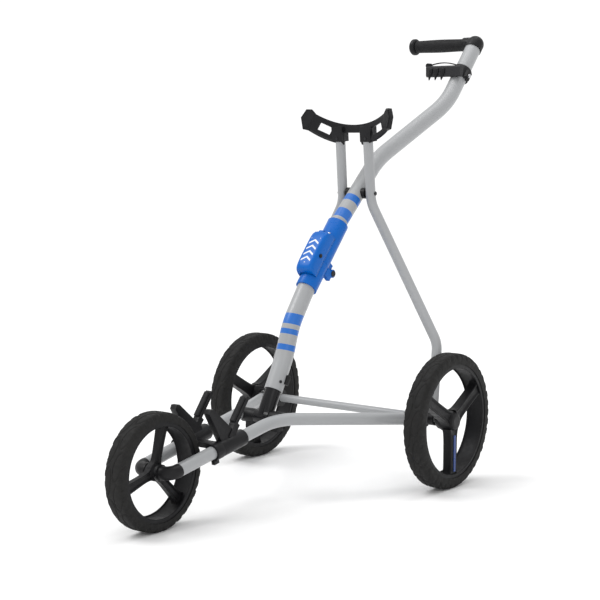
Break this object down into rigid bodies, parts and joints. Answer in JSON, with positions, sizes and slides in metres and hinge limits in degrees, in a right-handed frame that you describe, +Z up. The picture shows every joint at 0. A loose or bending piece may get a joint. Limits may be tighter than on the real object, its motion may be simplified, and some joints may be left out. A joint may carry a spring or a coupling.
{
  "type": "golf push trolley",
  "caption": "Three-wheeled golf push trolley with a wishbone base, folding spine with latch, bag cradle on splayed stays, and a one-sided grip with tee holder.",
  "frame": {"origin": "on the ground under the middle of the trolley's outer box, open for use", "axes": "+Z up; -Y is the way the trolley is pushed, towards its front wheel; +X is its left side"},
  "size_m": [0.571, 1.164, 0.9825],
  "materials": {
    "silver_paint": "satin light silver grey lacquer on aluminium tube",
    "blue_plastic": "strong blue satin moulding",
    "black_plastic": "fine-textured black nylon",
    "grey_plastic": "dark grey nylon",
    "foam_tyre": "dark grey closed-cell foam tyre",
    "rim_black": "black wheel moulding",
    "rubber": "soft black grip rubber",
    "steel": "steel",
    "black_steel": "black coated steel",
    "accent_blue": "blue trim"
  },
  "bodies": {
    "base": {"arm_left": "silver_paint", "arm_right": "silver_paint", "rear_axle_tube": "silver_paint", "axle_bracket_left": "black_plastic", "axle_bracket_right": "black_plastic", "axle_stub_left": "steel", "axle_stub_right": "steel", "front_elbow_left": "black_plastic", "front_elbow_right": "black_plastic", "front_axle": "black_steel", "bag_bracket_left": "black_plastic", "bag_bracket_right": "black_plastic", "bag_pad_left": "rubber", "bag_pad_right": "rubber", "collar_clamp_left": "black_plastic", "collar_clamp_right": "black_plastic", "bracket_bridge": "black_plastic", "spine_pivot_block": "black_plastic", "spine_pivot_bolt": "steel"},
    "lower_spine": {"lower_spine_tube": "silver_paint", "spine_foot": "black_plastic", "lower_knuckle": "blue_plastic", "hinge_pin": "black_steel", "storage_catch": "black_plastic", "foot_screws": "black_steel"},
    "upper_spine": {"upper_spine_tube": "silver_paint", "upper_knuckle": "blue_plastic", "stay_pivot_bosses": "black_plastic", "handle_elbow": "black_plastic", "handle_grip": "rubber", "grip_end_cap": "rubber", "handle_screw": "black_steel", "accessory_clamp": "black_plastic", "tee_holder": "grey_plastic", "accessory_clip": "black_plastic", "accessory_bolt": "steel", "latch_pin": "steel"},
    "latch": {"latch_cover": "blue_plastic"},
    "release": {"release_button": "black_plastic"},
    "stays": {"stay_left": "silver_paint", "stay_right": "silver_paint", "bag_cradle": "black_plastic", "cradle_end_pads": "rubber", "cradle_screws": "black_steel", "stay_bolts": "black_steel", "stay_eyes": "black_plastic"},
    "rear_left_wheel": {"tyre_rear_left": "foam_tyre", "rim_rear_left": "rim_black", "bearings_rear_left": "steel", "hub_cap_left": "black_plastic", "spoke_accent": "accent_blue"},
    "rear_right_wheel": {"tyre_rear_right": "foam_tyre", "rim_rear_right": "rim_black", "bearings_rear_right": "steel", "hub_cap_right": "black_plastic"},
    "front_wheel": {"tyre_front": "foam_tyre", "rim_front": "rim_black", "bearings_front": "steel"}
  },
  "joints": [
    {"name": "spine_fold", "type": "hinge", "parent": "base", "child": "lower_spine", "pos_m": [0, -0.1315, 0.168], "axis": [1, 0, 0], "range_deg": [0, 100]},
    {"name": "mid_fold", "type": "hinge", "parent": "lower_spine", "child": "upper_spine", "pos_m": [0, 0.0805, 0.452], "axis": [1, 0, 0], "range_deg": [-138, 0]},
    {"name": "stay_fold", "type": "hinge", "parent": "base", "child": "stays", "pos_m": [0, 0.1655, 0.145], "axis": [1, 0, 0], "range_deg": [0, 64.5]},
    {"name": "latch_open", "type": "hinge", "parent": "upper_spine", "child": "latch", "pos_m": [0, 0.06957, 0.53993], "axis": [1, 0, 0], "range_deg": [-30, 0], "stiffness_Nm_per_rad": 0.2},
    {"name": "release_press", "type": "slide", "parent": "latch", "child": "release", "axis": [-1, 0, 0], "range_m": [0, 0.0015], "stiffness_N_per_m": 300},
    {"name": "rear_left_spin", "type": "hinge", "parent": "base", "child": "rear_left_wheel", "pos_m": [0.262, 0.1655, 0.145], "axis": [1, 0, 0], "continuous": true},
    {"name": "rear_right_spin", "type": "hinge", "parent": "base", "child": "rear_right_wheel", "pos_m": [-0.262, 0.1655, 0.145], "axis": [1, 0, 0], "continuous": true},
    {"name": "front_spin", "type": "hinge", "parent": "base", "child": "front_wheel", "pos_m": [0, -0.467, 0.115], "axis": [1, 0, 0], "continuous": true}
  ],
  "couplings": [
    {"joint": "mid_fold", "follows": "spine_fold", "ratio": -1.376},
    {"joint": "stay_fold", "follows": "spine_fold", "ratio": 0.641}
  ]
}
